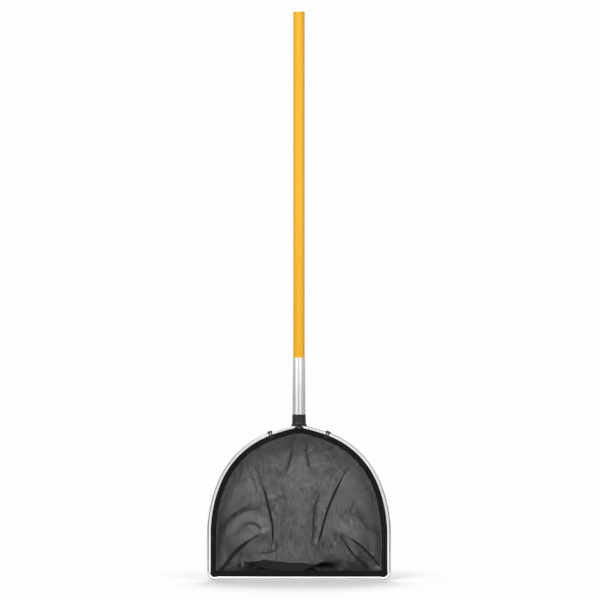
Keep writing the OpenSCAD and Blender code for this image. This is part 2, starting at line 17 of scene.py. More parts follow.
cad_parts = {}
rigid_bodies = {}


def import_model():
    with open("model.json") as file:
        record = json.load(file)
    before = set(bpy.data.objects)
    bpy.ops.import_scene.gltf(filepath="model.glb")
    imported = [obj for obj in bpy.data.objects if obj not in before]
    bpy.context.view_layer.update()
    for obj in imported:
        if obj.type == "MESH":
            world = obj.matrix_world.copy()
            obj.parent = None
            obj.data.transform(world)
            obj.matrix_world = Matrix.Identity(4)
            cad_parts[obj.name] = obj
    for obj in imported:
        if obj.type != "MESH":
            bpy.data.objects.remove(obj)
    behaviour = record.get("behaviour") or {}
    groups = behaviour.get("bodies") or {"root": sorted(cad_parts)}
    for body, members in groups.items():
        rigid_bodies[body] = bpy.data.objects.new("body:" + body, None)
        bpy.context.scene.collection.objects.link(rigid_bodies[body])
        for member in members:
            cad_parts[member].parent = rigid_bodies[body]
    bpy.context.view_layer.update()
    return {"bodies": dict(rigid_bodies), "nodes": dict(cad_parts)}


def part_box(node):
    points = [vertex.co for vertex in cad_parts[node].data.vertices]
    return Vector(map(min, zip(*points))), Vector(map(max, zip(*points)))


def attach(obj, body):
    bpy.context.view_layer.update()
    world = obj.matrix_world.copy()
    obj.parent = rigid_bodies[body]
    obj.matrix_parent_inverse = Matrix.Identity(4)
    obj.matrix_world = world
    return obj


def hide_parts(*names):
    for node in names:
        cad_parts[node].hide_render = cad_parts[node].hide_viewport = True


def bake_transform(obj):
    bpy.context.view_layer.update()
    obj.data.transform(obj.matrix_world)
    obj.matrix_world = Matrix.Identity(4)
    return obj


bl_info = {
    "name": "Leaf skimmer net",
    "version": (1, 0, 0),
    "blender": (4, 5, 0),
    "location": "3D View > Sidebar > Skimmer",
    "description": "Builds the mesh bag, the hem and the finishes of a leaf skimmer net",
    "category": "Object",
}

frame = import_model()
BODY = next(b for b, o in frame["bodies"].items() if any(c.name == "hub" for c in o.children))


def heading(angle):
    """The unit vector at that angle from +X, in the plane of the frame."""
    return Vector((math.cos(angle), math.sin(angle)))


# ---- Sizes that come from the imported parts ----
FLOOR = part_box("lower_bar")[0].z
TUBE_R = (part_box("lower_bar")[1].z - FLOOR) / 2
HALF_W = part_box("bow_right")[1].x - TUBE_R
SEAM_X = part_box("lower_bar")[1].x

# ---- The frame's line: arcs of the tube's centre, for the right half, with z above the floor ----
SIDE_H = 0.1175
SIDE_R = 0.3275
SIDE_ANGLE = math.radians(23.6)
SHOULDER_R = 0.21925
SHOULDER_ANGLE = math.radians(44.65)
ENTRY_SLOPE = math.radians(12)
ENTRY_X = 0.0109
CORNER_R = 0.01425
SIDE_C = Vector((HALF_W - SIDE_R, SIDE_H))
SHOULDER_TOP = SIDE_ANGLE + SHOULDER_ANGLE
SHOULDER_C = SIDE_C + (SIDE_R - SHOULDER_R) * heading(SIDE_ANGLE)
CROWN_TOP = math.pi / 2 - ENTRY_SLOPE
CROWN_FOOT = SHOULDER_C + SHOULDER_R * heading(SHOULDER_TOP)
CROWN_R = (CROWN_FOOT.x - ENTRY_X) / (math.cos(SHOULDER_TOP) - math.cos(CROWN_TOP))
CROWN_C = CROWN_FOOT - CROWN_R * heading(SHOULDER_TOP)
ENTRY_Z = CROWN_C.y + CROWN_R * math.sin(CROWN_TOP)
PEAK = ENTRY_Z + ENTRY_X * math.tan(ENTRY_SLOPE)
SEAM_Z = 0.0196

# ---- The hem and the bag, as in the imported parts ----
# The tape starts just inside the tube; the bag hangs behind it from the hem to a keel line in its middle
TAPE_OUT = TUBE_R + 0.0003
TAPE_W = 0.013
TAPE_T = 0.0024
BAG_Y = 0.0023
BAG_DEPTH = 0.118
BAG_LOW = 0.034
BAG_SAG = 0.029
KEEL_HALF = 0.105
KEEL_SHARE = 0.75
SADDLE_HALF = 0.012
LEVEL_BIAS = 0.9
BROAD_DEPTH = 0.012
BROAD_HALF = 0.017
# Broad folds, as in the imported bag: points (x, height) along each, and its share of the depth, which is
# negative where the cloth comes forward
BROAD_FOLDS = (
    (((-0.118, 0.300), (-0.082, 0.200), (-0.066, 0.090)), -0.8),
    (((0.132, 0.290), (0.078, 0.190), (0.052, 0.090)), -0.8),
    (((-0.066, 0.260), (-0.038, 0.180), (-0.030, 0.095)), 1),
    (((0.070, 0.260), (0.040, 0.185), (0.026, 0.085)), 1),
    (((-0.019, 0.345), (-0.022, 0.300), (-0.034, 0.255)), 0.8),
    (((0.018, 0.345), (0.024, 0.295), (0.034, 0.255)), 0.8),
    (((-0.185, 0.040), (-0.145, 0.082), (-0.090, 0.114)), -1),
    (((0.188, 0.042), (0.160, 0.078), (0.104, 0.118)), -1),
    (((-0.185, 0.125), (-0.141, 0.170), (-0.092, 0.165)), 0.7),
    (((0.105, 0.148), (0.140, 0.154), (0.180, 0.120)), 0.7),
    (((-0.120, 0.040), (0.090, 0.042)), -1),
)
SADDLE_Z = PEAK - TUBE_R / math.cos(ENTRY_SLOPE) - 0.0029
# Powers that shape the bag's section and sag
BAG_ROUND = (1.3, 1.5)
BAG_SAG_POWER = 0.7

# ---- Shares and sizes of the visual net ----
# Cuts that let an arm of the clip spring bend
ARM_CUTS = 8
# The slotted tube: its wall, its slot and the corners of its flat side
TUBE_WALL = 0.001
TUBE_SLOT = 0.0026
TUBE_CORNER = 0.0012
# Steps along a bow, along the lower bar, round half a section and round a corner, and the bend in radians
# from which an edge is sharp
BOW_STEPS = 170
BAR_STEPS = 12
HALF_ROUND_STEPS = 24
CORNER_STEPS = 5
SHARP_EDGE = 0.6
# One dark streak of reflection painted down the front of the ferrule: its place, half its width and its shade
PAINTED_STREAK_X = -0.0014
PAINTED_STREAK_HALF = 0.0011
PAINTED_STREAK_SHADE = 0.55
# A painted dark reflection on a tube's shoulders: how far short of the tube's front and back it starts and
# ends, how soft both edges are, its shade, and the height from which and over which it comes in above the
# floor
BAND_START, BAND_START_SOFT = 0.0033, 0.0005
BAND_END, BAND_END_SOFT = 0.0005, 0.0004
PAINTED_BAND_SHADE = 0.13
BAND_FOOT, BAND_RISE = 0.014, 0.01
# Pitch of the hem tape's ribs and picks, where its middle, painted lighter than its shaded edges, starts and
# ends, and the steps along it
TAPE_RIB = 0.0009
TAPE_PICK = 0.0006
TAPE_LIT_MIDDLE = (0.0032, 0.0100)
TAPE_STEPS = 760
# Section of the band: how far in from its outer edge, and its share of half the thickness there
TAPE_PROFILE = ((0, 0), (0.0002, 0.8), (0.0007, 1.0), (0.0018, 1.0), (0.0030, 0.92), (0.0036, 0.74),
                (0.0048, 0.80), (0.0065, 0.86), (0.0085, 0.84), (0.0100, 0.74), (0.0108, 0.86),
                (0.0120, 0.80), (0.0128, 0.5), (0.0130, 0))
# Rows of sewing: name, how far in from the tape's outer edge, and the tape's share of thickness there
SEWING = (("hem_sewing_outer", 0.0042, 0.86), ("hem_sewing_inner", 0.0094, 0.80))
# Steps along a stitch, steps round the thread, and the share of a stitch that lies on top of the tape
STITCH_STEPS = 5
THREAD_SIDES = 6
STITCH_SHARE = 0.8
# The strip of mesh between the tape and the slot: how far in it starts, its width and how far round it goes
SLEEVE_IN, SLEEVE_W, SLEEVE_ROUND = 0.0035, 0.0045, 0.985
SLEEVE_STEPS = (420, 3)
SLEEVE_HAZE = 0.55
# Where in tau the hem stands slack off the tube, on the right above the lower rivet, and how far
PULL_LOW, PULL_LOW_SOFT = 0.40, 0.025
PULL_HIGH, PULL_HIGH_SOFT = 0.47, 0.03
PULL = 0.0022
# The bag: rows behind the tape, how far they reach out from its inner edge, and where the open cloth starts
FLANGE_ROWS = 4
FLANGE_REACH = 0.008
FLANGE_END = 0.001
# Half the width of the columns along the lower bar, and where those along the crown start
BAR_COLUMNS_X = 0.132
CROWN_COLUMNS_X = 0.140
# How the threads are crowded: how much at the hem and from what share of the way there, how much low down
# and up to what height, less a share towards the sides, and how much of a hole that and the painted crease
# shade shut
HEM_CROWD, HEM_CROWD_FROM = 0.85, 0.78
LOW_CROWD, LOW_CROWD_TOP = 0.95, 0.13
LOW_CROWD_SIDES, LOW_CROWD_LOSS = (0.07, 0.15), 0.65
CROWD_SHUTS = 0.42
# Edge sharpness of a hole in the weave
HOLE_GATE = 10.0
# Slow ripples of the slack cloth: depth and frequency of each, and the patches per metre of the slowest
RIPPLES = ((0.0040, 1.0), (0.0030, 3.3), (0.0007, 11.0))
RIPPLE_SCALE = 9

# ---- The view: width of the field at the net, lens and sensor in millimetres, and the aim ----
FIELD = 1.5
LENS = 250
SENSOR = 36
AIM_X = 0.0025
AIM_Z = 0.7007
CLIP = (0.1, 100)

# ---- The light ----
# Lamps: name, place, width, height and power
LAMPS = (("key", (-0.9, -2.5, 0.9), 1.3, 1.9, 50), ("fill", (1.3, -2.4, 0.2), 1.1, 1.9, 22),
         ("back", (0.0, 2.2, 1.4), 1.8, 1.6, 60))
LAMP_TARGET = Vector((0, 0, -0.8))
# Even light on cloth and plastic, and the white that the camera sees
EVEN_LIGHT = 0.32
WHITE = 0.985
# What polished metal sees, as degrees from the front and level: bright windows in front, grey flags at the
# sides and white paper behind
ROOM = ((-180, 1.8), (-150, 1.4), (-130, 0.85), (-82, 0.72), (-66, 1.1), (-54, 2.5), (-38, 2.5), (-24, 1.45),
        (-8, 1.3), (8, 1.5), (34, 1.85), (52, 1.0), (76, 0.72), (122, 0.72), (150, 1.2), (180, 1.8))
# The floor: half its size, its drop under the net, its tone, what it adds to itself, and the oval over whose
# edge it turns plain white, from near to far
PAPER_HALF = 30
PAPER_DROP = 0.0002
PAPER_TONE = (0.88, 0.88, 0.88, 1)
PAPER_LIFT = 0.05
PAPER_OVAL = (1.2, 1, 0)
PAPER_NEAR, PAPER_FAR = 0.28, 0.60


class NetSizes(bpy.types.PropertyGroup):
    """Sizes of the net's cloth"""

    thread_pitch: FloatProperty(
        name="Thread pitch", description="Distance between the threads of the mesh",
        default=0.0009, min=0.0004, unit="LENGTH")
    hole_share: FloatProperty(
        name="Hole width", description="Width of a hole as a share of the pitch",
        default=0.43, min=0.1, max=0.8, subtype="FACTOR")
    thread_height: FloatProperty(
        name="Cloth thickness", description="Thickness of the mesh from thread top to thread top",
        default=0.00016, min=0.00005, unit="LENGTH")
    around: IntProperty(name="Columns", description="Columns of faces along the bag's crown", default=168)
    down: IntProperty(name="Rows", description="Rows of faces from the hem to the keel", default=118)
    stitch: FloatProperty(
        name="Stitch length", description="Length of one stitch in the hem",
        default=0.0032, min=0.001, unit="LENGTH")
    thread: FloatProperty(
        name="Sewing thread", description="Diameter of the sewing thread",
        default=0.0006, min=0.0002, unit="LENGTH")


class NetColours(bpy.types.PropertyGroup):
    """Base colours of the finishes"""

    pole: FloatVectorProperty(
        name="Pole", description="Resin of the pole", subtype="COLOR", default=(0.87, 0.44, 0.016))
    mesh: FloatVectorProperty(
        name="Mesh", description="Threads of the mesh", subtype="COLOR", default=(0.013, 0.0135, 0.0115))
    tape: FloatVectorProperty(
        name="Tape", description="Hem tape", subtype="COLOR", default=(0.0026, 0.0026, 0.0028))
    moulding: FloatVectorProperty(
        name="Moulding", description="Black plastic", subtype="COLOR", default=(0.011, 0.011, 0.012))
    metal: FloatVectorProperty(
        name="Metal", description="Drawn aluminium", subtype="COLOR", default=(0.93, 0.93, 0.935))


# ---- Shader maths ----
class Value:
    """A socket whose arithmetic adds Math nodes."""

    def __init__(self, nodes, socket):
        self.nodes, self.socket = nodes, socket

    def maths(self, operation, *values):
        return self.nodes.node("ShaderNodeMath", {"operation": operation}, dict(enumerate(values)))

    def __add__(self, other):
        return self.maths("ADD", self, other)

    def __sub__(self, other):
        return self.maths("SUBTRACT", self, other)

    def __rsub__(self, other):
        return self.maths("SUBTRACT", other, self)

    def __mul__(self, other):
        return self.maths("MULTIPLY", self, other)

    def __truediv__(self, other):
        return self.maths("DIVIDE", self, other)

    def __pow__(self, other):
        return self.maths("POWER", self, other)

    def __abs__(self):
        return self.maths("ABSOLUTE", self)

    __radd__ = __add__
    __rmul__ = __mul__

    def clamp(self):
        return self.maths("MINIMUM", self.maths("MAXIMUM", self, 0.0), 1.0)

    def wave(self, pitch):
        """0 at the start of each pitch, 1 in its middle."""
        return 1 - self.maths("PINGPONG", self, pitch / 2) / (pitch / 2)


class Nodes:
    """A node tree that grows by one method, used by every finish and by the world."""

    def __init__(self, tree, output):
        self.tree = tree
        tree.nodes.clear()
        self.surface = tree.nodes.new(output).inputs["Surface"]

    def node(self, kind, settings=None, inputs=None, output=0):
        """A node of that kind: its settings first, then the values or links of its sockets."""
        made = self.tree.nodes.new(kind)
        for name, value in (settings or {}).items():
            setattr(made, name, value)
        for name, value in (inputs or {}).items():
            if isinstance(value, Value):
                self.tree.links.new(value.socket, made.inputs[name])
            else:
                made.inputs[name].default_value = value
        return Value(self, made.outputs[output])

    def show(self, shader):
        """Makes a shader the surface of the material or world."""
        self.tree.links.new(shader.socket, self.surface)

    def axis(self, vector, letter):
        return self.node("ShaderNodeSeparateXYZ", None, {"Vector": vector}, letter)

    def ramp(self, share, stops):
        """Grey levels at places from 0 to 1, eased from each to the next."""
        made = self.node("ShaderNodeValToRGB", None, {"Fac": share}, "Color")
        ramp = made.socket.node.color_ramp
        ramp.interpolation = "EASE"
        for _ in stops[2:]:
            ramp.elements.new(0.5)
        for element, (place, level) in zip(ramp.elements, stops):
            element.position, element.color = place, (level, level, level, 1)
        return made


class Finish(Nodes):
    """A material made of nodes round one Principled shader, whose plain numbers sit on its own sockets."""

    def __init__(self, name, **plain):
        self.material = bpy.data.materials.new(name)
        self.material.use_nodes = True
        super().__init__(self.material.node_tree, "ShaderNodeOutputMaterial")
        self.shader = self.tree.nodes.new("ShaderNodeBsdfPrincipled")
        self.show(Value(self, self.shader.outputs[0]))
        for socket, value in plain.items():
            self.shader.inputs[socket.replace("_", " ")].default_value = value

    def feed(self, **links):
        """Links values to sockets of the shader, and gives the finished material."""
        for socket, value in links.items():
            self.tree.links.new(value.socket, self.shader.inputs[socket.replace("_", " ")])
        return self.material

    def place(self, scale=(1, 1, 1), source="Object"):
        """Object or UV coordinates, scaled."""
        where = self.node("ShaderNodeTexCoord", output=source)
        return self.node("ShaderNodeMapping", None, {"Vector": where, "Scale": scale})

    def grain(self, patches, detail=2.0, source="Object", rough=0.5):
        """Noise from 0 to 1, with so many patches per metre, alike or along each axis."""
        scale = patches if isinstance(patches, tuple) else (patches, patches, patches)
        inputs = {"Vector": self.place(scale, source), "Scale": 1.0, "Detail": detail, "Roughness": rough}
        return self.node("ShaderNodeTexNoise", {"noise_dimensions": "3D"}, inputs, "Fac")

    def mix(self, share, first, second):
        """The first colour, or the second where share is 1."""
        first, second = (c if isinstance(c, Value) else (*c, 1) for c in (first, second))
        # Sockets 6 and 7 and output 2 are those of colours
        return self.node("ShaderNodeMix", {"data_type": "RGBA"}, {0: share, 6: first, 7: second}, 2)

    def bump(self, height, depth):
        return self.node("ShaderNodeBump", None, {"Height": height, "Distance": depth, "Strength": 1.0})


def shade(colour, factor):
    return tuple(min(1.0, c * factor) for c in colour)


def wear(nodes, material):
    """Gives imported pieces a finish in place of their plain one."""
    for name in nodes:
        mesh = frame["nodes"][name].data
        mesh.materials.clear()
        mesh.materials.append(material)


# ---- Geometry helpers ----
# Where the bar, the corner, the side, the side's arc, the shoulder, the crown and the hub's entry end in tau
SPANS = (0.20, 0.235, 0.36, 0.56, 0.78, 0.965, 1.0)


def rim(tau, inset):
    """A point of the frame's line moved inward by inset, and the direction that points outward there.

    tau is 0 in the middle of the lower bar and 1 in the middle of the crown, and negative on the left.
    """
    side, t, inset = (1 if tau >= 0 else -1), abs(tau), float(inset)
    corner = max(CORNER_R - inset, 0.001)
    x, z = HALF_W - inset, TUBE_R + inset
    start = 0.0
    for span, end in enumerate(SPANS):
        if t <= end or span == len(SPANS) - 1:
            f = (t - start) / (end - start)
            break
        start = end
    if span == 0:
        p, a = Vector(((x - corner) * f, z)), -math.pi / 2
    elif span == 1:
        a = (f - 1) * math.pi / 2
        p = Vector((x - corner, z + corner)) + corner * heading(a)
    elif span == 2:
        p, a = Vector((x, z + corner + (SIDE_H - z - corner) * f)), 0.0
    elif span == 6:
        foot = CROWN_C + (CROWN_R - inset) * heading(CROWN_TOP)
        top = Vector((0, PEAK - inset / math.cos(ENTRY_SLOPE)))
        p, a = foot.lerp(top, f), CROWN_TOP
    else:
        c, r, a0, a1 = ((SIDE_C, SIDE_R, 0, SIDE_ANGLE), (SHOULDER_C, SHOULDER_R, SIDE_ANGLE, SHOULDER_TOP),
                        (CROWN_C, CROWN_R, SHOULDER_TOP, CROWN_TOP))[span - 3]
        a = a0 + (a1 - a0) * f
        p = c + (r - inset) * heading(a)
    return Vector((side * p.x, p.y)), Vector((side * math.cos(a), math.sin(a)))


def smooth_step(a, b, x):
    """0 before a, 1 past b, and a soft rise between them."""
    t = np.clip((x - a) / (b - a), 0, 1)
    return t * t * (3 - 2 * t)


def new_piece(name, bm, material, replaces=(), smooth=True, ride=True):
    """A mesh object at the origin, which rides on the skimmer's body unless it bends between two bodies."""
    mesh = bpy.data.meshes.new(name)
    bm.to_mesh(mesh)
    bm.free()
    mesh.materials.append(material)
    piece = bpy.data.objects.new(name, mesh)
    bpy.context.scene.collection.objects.link(piece)
    if smooth:
        mesh.shade_smooth()
    if ride:
        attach(piece, BODY)
    if replaces:
        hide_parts(*replaces)
    return piece


def woven_grid(columns, rows, place):
    """A grid of faces with its own UV, each vertex moved to place(u, v) with u and v from 0 to 1."""
    bm = bmesh.new()
    bm.loops.layers.uv.new("UVMap")
    bmesh.ops.create_grid(bm, x_segments=columns, y_segments=rows, size=0.5, calc_uvs=True)
    for v in bm.verts:
        v.co = place(v.co.x + 0.5, v.co.y + 0.5)
    return bm


def set_uv(bm, spot):
    """Lays the UV map out afresh; spot(u, v) takes the grid's own 0 to 1 coordinates."""
    layer = bm.loops.layers.uv.active
    for face in bm.faces:
        for loop in face.loops:
            loop[layer].uv = spot(*loop[layer].uv)


def close_up(bm, distance=1e-5):
    """Joins the points that lie together, and turns all faces outward."""
    bmesh.ops.remove_doubles(bm, verts=bm.verts, dist=distance)
    bmesh.ops.recalc_face_normals(bm, faces=bm.faces)


def lengths_along(points):
    """How far along a run of points each of them lies."""
    along = [0.0]
    for (a0, b0), (a1, b1) in zip(points, points[1:]):
        along.append(along[-1] + math.hypot(a1 - a0, b1 - b0))
    return along


def cut(bm, spot, normal, **options):
    """Cuts all that a mesh holds along a plane."""
    bmesh.ops.bisect_plane(bm, geom=bm.verts[:] + bm.edges[:] + bm.faces[:], plane_co=spot, plane_no=normal,
                           **options)


def tau_where(short, low, high):
    """The tau between low and high up to which the frame's line is still short of a mark."""
    for _ in range(50):
        middle = (low + high) / 2
        low, high = (middle, high) if short(middle) else (low, middle)
    return low


SEAM_START = tau_where(lambda tau: rim(tau, 0)[0].y < SEAM_Z, SPANS[0], SPANS[2])
BOW_END = 1 - (1 - SPANS[5]) * 0.0025 / ENTRY_X
RIM_STEPS = 500
RIM_LENGTH = sum((rim(i / RIM_STEPS - 1, 0.0115)[0] - rim((i + 1) / RIM_STEPS - 1, 0.0115)[0]).length
                 for i in range(2 * RIM_STEPS))


# ---- Finishes of metal and plastic ----
def drawn_metal(name, colour, rough, source="Object", along=(900, 900, 9), line=None, shoulder_shade=False):
    """Aluminium with faint lines drawn along it and a little cloudiness.

    line is the place of one dark streak of reflection painted down the front, and shoulder paints a dark band
    of reflection on both shoulders of a tube.
    """
    f = Finish(name, Metallic=1.0)
    lines = f.grain(along, 3.0, source)
    cloud = f.grain(14, 3.0)
    tone = f.mix(lines * 0.5 + cloud * 0.5, shade(colour, 0.90), colour)
    # A dark streak of reflection, painted into the base colour down the front
    if line is not None:
        where = f.place()
        off = abs(f.axis(where, "X") - line)
        front = ((f.axis(where, "Y") * -1) * 1000).clamp()
        tone = f.mix((1 - off / PAINTED_STREAK_HALF).clamp() * front, tone, shade(colour, PAINTED_STREAK_SHADE))
    # A painted dark reflection on both shoulders, in the base colour, coming in above the floor
    if shoulder_shade:
        quarter = math.pi * TUBE_R / 2
        off = abs(f.axis(f.place(source="UV"), "Y") - quarter)
        upright = (f.axis(f.place(), "Z") - FLOOR - BAND_FOOT) / BAND_RISE
        band = ((off - quarter + BAND_START) / BAND_START_SOFT).clamp()
        band = band * ((quarter - BAND_END - off) / BAND_END_SOFT).clamp() * upright.clamp()
        tone = f.mix(band.clamp(), tone, shade(colour, PAINTED_BAND_SHADE))
    return f.feed(Base_Color=tone,
                  Roughness=rough + lines * 0.10 + cloud * 0.06,
                  Normal=f.bump(lines, 0.00002))


def moulded(name, colour, rough):
    """Black plastic with a fine spark-eroded grain and a few scuffs."""
    f = Finish(name, Specular_IOR_Level=0.28)
    fine = f.grain(2600)
    cloud = f.grain(60, 3.0)
    scuff = ((f.grain((500, 500, 60), 4.0) - 0.62) * 8).clamp()
    return f.feed(Base_Color=f.mix(scuff * 0.5, colour, shade(colour, 2.6)),
                  Roughness=rough + cloud * 0.12 + scuff * 0.15,
                  Normal=f.bump(fine, 0.00003))


def twisted(name, patches, dark, pale, rough, depth, **plain):
    """Black yarn whose colour, roughness and relief follow one noise."""
    f = Finish(name, **plain)
    yarn = f.grain(patches)
    return f.feed(Base_Color=f.mix(yarn, dark, pale),
                  Roughness=rough + yarn * 0.2,
                  Normal=f.bump(yarn, depth))


class SKIMMER_OT_pole(bpy.types.Operator):
    """Finish the pole as pultruded fibreglass, and its plug as rubber"""

    bl_idname = "skimmer.pole"
    bl_label = "Pole and plug"

    def execute(self, context):
        red, green, blue = context.scene.net_colours.pole
        f = Finish("yellow fibreglass", Specular_IOR_Level=0.04, Coat_Roughness=0.12, Coat_IOR=1.4)
        strand = f.grain((1100, 1100, 5), 4.0, rough=0.6)
        broad = f.grain((260, 260, 2.5), 3.0)
        cloud = f.grain((30, 30, 4), 3.0)
        # A painted highlight from the gloss: the resin is painted palest in the middle of the pole's length
        pale = (1 - abs((f.axis(f.place(), "Z") + 0.45) * 2.2)).clamp()
        body = f.mix((strand * 0.5 + broad * 1.1 - 0.57).clamp(), shade((red, green, blue), 0.86),
                     (min(1, red * 1.1), green * 1.16, blue * 1.5))
        with_painted_highlight = f.mix(pale * 0.22 + cloud * 0.06, body, (0.93, 0.52, 0.06))
        scratch = ((f.grain((420, 420, 30), 4.0) - 0.66) * 9).clamp()
        wear(["pole"], f.feed(Base_Color=f.mix(scratch * 0.22, with_painted_highlight, (0.95, 0.66, 0.20)),
                              Roughness=0.34 + strand * 0.14 + scratch * 0.2,
                              Coat_Weight=0.32 - scratch * 0.25,
                              Normal=f.bump(strand + broad * 0.6, 0.00005)))
        f = Finish("plug rubber")
        dust = f.grain(900, 3.0)
        wear(["pole_plug"], f.feed(Base_Color=f.mix(dust * 0.5, (0.020, 0.020, 0.020), (0.05, 0.049, 0.046)),
                                   Roughness=0.62 + dust * 0.2, Normal=f.bump(dust, 0.00006)))
        return {"FINISHED"}


class SKIMMER_OT_ferrule(bpy.types.Operator):
    """Finish the ferrule, the rivets and the spring buttons as metal, and build the clip spring's two arms"""

    bl_idname = "skimmer.ferrule"
    bl_label = "Ferrule and buttons"

    def execute(self, context):
        metal = tuple(context.scene.net_colours.metal)
        wear(["ferrule"], drawn_metal("ferrule aluminium", metal, 0.06, line=PAINTED_STREAK_X))
        wear(["pole_rivet", "corner_rivets"],
             drawn_metal("rivet aluminium", shade(metal, 0.9), 0.30, along=700))
        wear(["left_button", "right_button"],
             drawn_metal("nickel plate", (0.70, 0.69, 0.67), 0.24, along=800))
        steel = drawn_metal("spring steel", (0.50, 0.50, 0.52), 0.30)
        for side, out in (("left", -1), ("right", 1)):
            self.spring_arm(side, out, steel)
        return {"FINISHED"}

    def spring_arm(self, side, out, steel):
        """One arm of the V-shaped clip spring, cut at its bend, which swings in with its button."""
        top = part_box("clip_spring")[1][2]
        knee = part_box(side + "_button")[1][2]
        bm = bmesh.new()
        bm.from_mesh(frame["nodes"]["clip_spring"].data)
        bmesh.ops.remove_doubles(bm, verts=bm.verts, dist=1e-6)
        cut(bm, (0, 0, 0), (out, 0, 0), clear_inner=True)
        bmesh.ops.holes_fill(bm, edges=[e for e in bm.edges if e.is_boundary])
        for i in range(1, ARM_CUTS):
            cut(bm, (0, 0, top + (knee - top) * i / ARM_CUTS), (0, 0, 1))
        bmesh.ops.recalc_face_normals(bm, faces=bm.faces)
        arm = new_piece("spring_arm_" + side, bm, steel, ["clip_spring"],
                        smooth=False, ride=False)
        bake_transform(arm)


class SKIMMER_OT_hub(bpy.types.Operator):
    """Finish the hub, the frame clips and the hem rivets as black plastic, and the hub screws as steel"""

    bl_idname = "skimmer.hub"
    bl_label = "Hub and clips"

    def execute(self, context):
        colour = tuple(context.scene.net_colours.moulding)
        wear(["hub"], moulded("black moulding", colour, 0.20))
        wear(["frame_clip_left", "frame_clip_right", "hem_rivets"],
             moulded("clip moulding", shade(colour, 0.8), 0.34))
        wear(["hub_screws"], drawn_metal("dark steel", (0.10, 0.10, 0.105), 0.34, along=900))
        return {"FINISHED"}


class SKIMMER_OT_tubes(bpy.types.Operator):
    """Build the slotted frame tubes with lines drawn along them, and finish the elbows"""

    bl_idname = "skimmer.tubes"
    bl_label = "Frame tubes"

    def execute(self, context):
        metal = tuple(context.scene.net_colours.metal)
        finish = drawn_metal("frame aluminium", metal, 0.07, source="UV", along=(9, 900, 1), shoulder_shade=True)
        for name, hand in (("bow_right", 1), ("bow_left", -1)):
            low, high = SEAM_START * hand, BOW_END * hand
            self.tube(name, lambda u, lo=low, hi=high: rim_station(lo + (hi - lo) * u), BOW_STEPS, finish)
        self.tube("lower_bar", lambda u: (Vector((SEAM_X * (2 * u - 1), 0, TUBE_R)), Vector((0, 0, -1))),
                  BAR_STEPS, finish)
        wear(["corner_left", "corner_right"],
             drawn_metal("elbow aluminium", shade(metal, 0.80), 0.26, along=260))
        return {"FINISHED"}

    def tube(self, name, station, steps, finish):
        """A tube that is round outside and flat towards the net, with a slot in its flat."""
        bore, hip = TUBE_R - TUBE_WALL, TUBE_R - TUBE_CORNER
        lip = math.pi - math.asin(TUBE_SLOT / 2 / bore)

        def arc(centre, radius, a, b, steps):
            return [(centre[0] + radius * math.cos(a + (b - a) * i / steps),
                     centre[1] + radius * math.sin(a + (b - a) * i / steps)) for i in range(steps + 1)]

        ring = arc((0, 0), TUBE_R, -math.pi / 2, math.pi / 2, HALF_ROUND_STEPS)
        ring += arc((-hip, hip), TUBE_CORNER, math.pi / 2, math.pi, CORNER_STEPS) + [(-TUBE_R, TUBE_SLOT / 2)]
        ring += arc((0, 0), bore, lip, -lip, HALF_ROUND_STEPS) + [(-TUBE_R, -TUBE_SLOT / 2)]
        ring += arc((-hip, -hip), TUBE_CORNER, math.pi, 1.5 * math.pi, CORNER_STEPS)
        ring.append(ring[0])

        def place(u, v):
            centre, out = station(u)
            away, back = ring[round(v * (len(ring) - 1))]
            return centre + out * away + Vector((0, back, FLOOR))

        bm = woven_grid(steps, len(ring) - 1, place)
        round_it = lengths_along(ring)
        set_uv(bm, lambda u, v: (u, round_it[round(v * (len(ring) - 1))]))
        close_up(bm)
        bmesh.ops.holes_fill(bm, edges=[e for e in bm.edges if e.is_boundary], sides=0)
        bmesh.ops.recalc_face_normals(bm, faces=bm.faces)
        for e in bm.edges:
            if len(e.link_faces) == 2 and e.calc_face_angle(0) > SHARP_EDGE:
                e.smooth = False
        new_piece(name + "_drawn", bm, finish, [name])


def rim_station(tau):
    """A point of the frame's line in space, and the direction that points outward there."""
    p, out = rim(tau, 0)
    return Vector((p.x, 0, p.y)), Vector((out.x, 0, out.y))


# ---- The hem ----
def tape_finish(colour):
    """Woven tape: ribs along it, painted shade along both edges and between the ribs, and a little dust."""
    f = Finish("hem tape", Specular_IOR_Level=0.10)
    where = f.place(source="UV")
    across, along = f.axis(where, "Y"), f.axis(where, "X")
    ribs = across.wave(TAPE_RIB) ** 1.5
    picks = along.wave(TAPE_PICK)
    dust = f.grain(120, 4.0)
    fuzz = f.grain(3000)
    start, end = TAPE_LIT_MIDDLE
    middle = (across.maths("SMOOTH_MIN", across - start, end - across, 0.001) * 900).clamp()
    # Painted shade: the tape is painted darker along both edges and between its ribs, and lighter in its
    # middle
    return f.feed(Base_Color=f.mix((middle * 0.75 + dust * 0.25).clamp() * (0.55 + ribs * 0.45),
                                   shade(colour, 0.45), shade(colour, 1.9)),
                  Roughness=0.62 + ribs * 0.18 + fuzz * 0.1,
                  Normal=f.bump(ribs + picks * 0.4 + fuzz * 0.5, 0.00022))


def hem_pull(tau):
    """How far the hem stands off the tube."""
    return PULL * float(smooth_step(PULL_LOW - PULL_LOW_SOFT, PULL_LOW, tau)
                        * (1 - smooth_step(PULL_HIGH, PULL_HIGH + PULL_HIGH_SOFT, tau)))


def under_saddle(p, gap):
    """The height of a point of the hem, which stays below the hub's saddle by gap."""
    return min(p.y, SADDLE_Z - gap) if abs(p.x) < SADDLE_HALF else p.y


